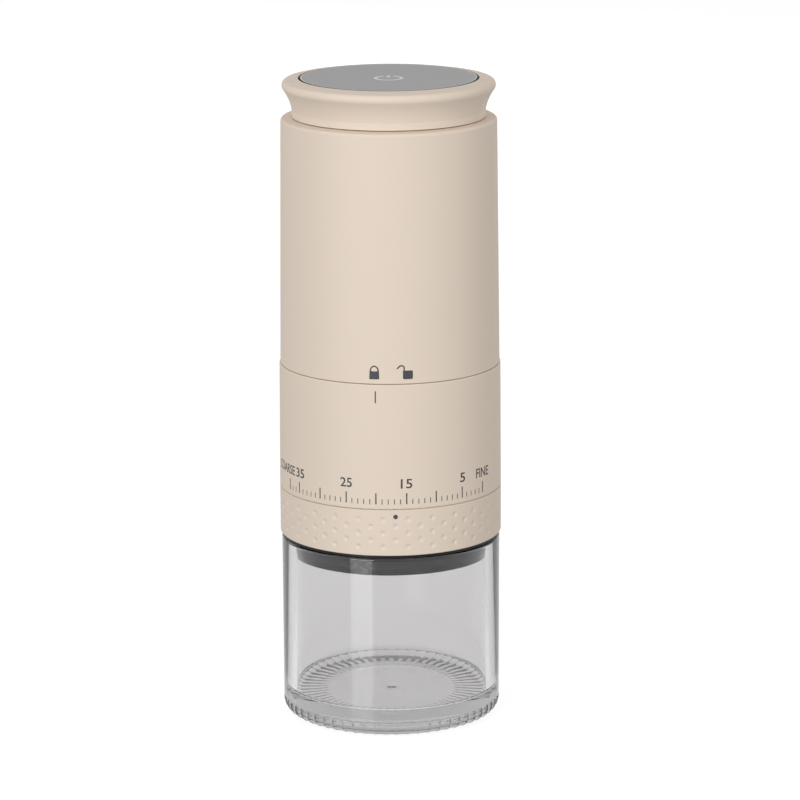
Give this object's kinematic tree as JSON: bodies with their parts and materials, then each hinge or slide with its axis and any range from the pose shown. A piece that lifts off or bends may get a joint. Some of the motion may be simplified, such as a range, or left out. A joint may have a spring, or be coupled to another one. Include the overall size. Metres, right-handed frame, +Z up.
{
  "type": "electric coffee grinder",
  "caption": "Cordless conical-burr coffee grinder: push-button flared cap, twist-off motor unit, grind ring with a printed scale, and a push-fit glass jar.",
  "frame": {"origin": "centre of the glass jar's foot, on the surface it stands on", "axes": "+Z up through the burr shaft to the power button; -Y is the front with the grind scale; +X to the right in the picture"},
  "size_m": [0.07, 0.07, 0.2035],
  "materials": {
    "beige_shell": "satin soft-touch plastic",
    "black_plastic": "satin",
    "hopper_plastic": "satin",
    "jar_glass": "clear polished glass",
    "seal_rubber": "matt silicone",
    "burr_steel": "machined hardened steel",
    "steel": "bright turned steel",
    "spider_alloy": "die cast, satin",
    "disc_alloy": "satin anodised",
    "gear_nylon": "satin",
    "brass": "machined",
    "motor_steel": "plated",
    "cell_wrap": "shrink wrap",
    "circuit_board": "solder resist",
    "light_diffuser": "milky"
  },
  "bodies": {
    "jar": {"jar": "jar_glass"},
    "grinder_body": {"grinder_housing": "beige_shell", "core_sleeve": "hopper_plastic", "jar_collar": "black_plastic", "collar_seal": "seal_rubber", "collar_screws": "steel", "bean_hopper": "hopper_plastic", "hopper_screws": "steel", "shaft_spider": "spider_alloy", "upper_bearing": "steel", "lower_bearing": "steel", "preload_spring": "steel", "detent_ball": "steel", "detent_spring": "steel"},
    "adjust_ring": {"adjust_ring": "beige_shell", "ring_pins": "steel"},
    "burr_carrier": {"burr_carrier": "hopper_plastic", "ring_burr": "burr_steel", "burr_screws": "steel"},
    "drive_shaft": {"drive_shaft": "steel", "cone_burr": "burr_steel", "grounds_sweeper": "black_plastic", "burr_nut": "steel", "shaft_circlip": "steel", "lower_dog": "steel"},
    "hopper_gasket": {"hopper_gasket": "seal_rubber"},
    "motor_unit": {"upper_housing": "beige_shell", "motor_bulkhead": "black_plastic", "output_bearing": "steel", "ring_gear": "gear_nylon", "gearbox_cover": "motor_steel", "gearbox_screws": "steel", "motor_can": "motor_steel", "battery_cells": "cell_wrap", "chassis_frame": "black_plastic", "chassis_screws": "steel", "control_board": "circuit_board", "tact_switch": "black_plastic", "usb_socket": "steel", "top_cap": "beige_shell", "cap_screws": "steel", "button_spring": "steel"},
    "planet_carrier": {"planet_carrier": "gear_nylon", "carrier_pins": "steel", "upper_dog": "hopper_plastic"},
    "planet_1": {"planet_1": "gear_nylon"},
    "planet_2": {"planet_2": "gear_nylon"},
    "planet_3": {"planet_3": "gear_nylon"},
    "motor_rotor": {"sun_pinion": "brass", "motor_shaft": "steel"},
    "power_button": {"button_disc": "disc_alloy", "button_carrier": "black_plastic", "light_guide": "light_diffuser", "switch_plunger": "black_plastic"}
  },
  "joints": [
    {"name": "jar_lift_off", "type": "slide", "parent": "jar", "child": "grinder_body", "axis": [0, 0, 1], "range_m": [0, 0.06]},
    {"name": "grind_adjust", "type": "hinge", "parent": "grinder_body", "child": "adjust_ring", "pos_m": [0, 0, 0.0669], "axis": [0, 0, 1], "range_deg": [-65.9, 53.35]},
    {"name": "burr_feed", "type": "slide", "parent": "grinder_body", "child": "burr_carrier", "axis": [0, 0, 1], "range_m": [-0.0002217, 0.0002739]},
    {"name": "burr_spin", "type": "hinge", "parent": "grinder_body", "child": "drive_shaft", "pos_m": [0, 0, 0.0725], "axis": [0, 0, 1], "continuous": true},
    {"name": "motor_lift", "type": "slide", "parent": "grinder_body", "child": "hopper_gasket", "axis": [0, 0, 1], "range_m": [0, 0.06]},
    {"name": "motor_twist", "type": "hinge", "parent": "hopper_gasket", "child": "motor_unit", "pos_m": [0, 0, 0.1095], "axis": [0, 0, 1], "range_deg": [-17, 0]},
    {"name": "output_spin", "type": "hinge", "parent": "motor_unit", "child": "planet_carrier", "pos_m": [0, 0, 0.1105], "axis": [0, 0, 1], "continuous": true},
    {"name": "planet_1_spin", "type": "hinge", "parent": "planet_carrier", "child": "planet_1", "pos_m": [0.009, 0, 0.124], "axis": [0, 0, 1], "continuous": true},
    {"name": "planet_2_spin", "type": "hinge", "parent": "planet_carrier", "child": "planet_2", "pos_m": [-0.0045, 0.00779, 0.124], "axis": [0, 0, 1], "continuous": true},
    {"name": "planet_3_spin", "type": "hinge", "parent": "planet_carrier", "child": "planet_3", "pos_m": [-0.0045, -0.00779, 0.124], "axis": [0, 0, 1], "continuous": true},
    {"name": "motor_spin", "type": "hinge", "parent": "motor_unit", "child": "motor_rotor", "pos_m": [0, 0, 0.13], "axis": [0, 0, 1], "continuous": true},
    {"name": "button_press", "type": "slide", "parent": "motor_unit", "child": "power_button", "axis": [0, 0, 1], "range_m": [-0.0008, 0], "stiffness_N_per_m": 800, "springref_m": 0.0015, "deforming": ["button_spring"]}
  ],
  "couplings": [
    {"joint": "grind_adjust", "follows": "burr_feed", "rad_per_m": -4188.8},
    {"joint": "output_spin", "follows": "burr_spin", "ratio": 1},
    {"joint": "planet_1_spin", "follows": "burr_spin", "ratio": -3},
    {"joint": "planet_2_spin", "follows": "burr_spin", "ratio": -3},
    {"joint": "planet_3_spin", "follows": "burr_spin", "ratio": -3},
    {"joint": "motor_spin", "follows": "burr_spin", "ratio": 4}
  ]
}
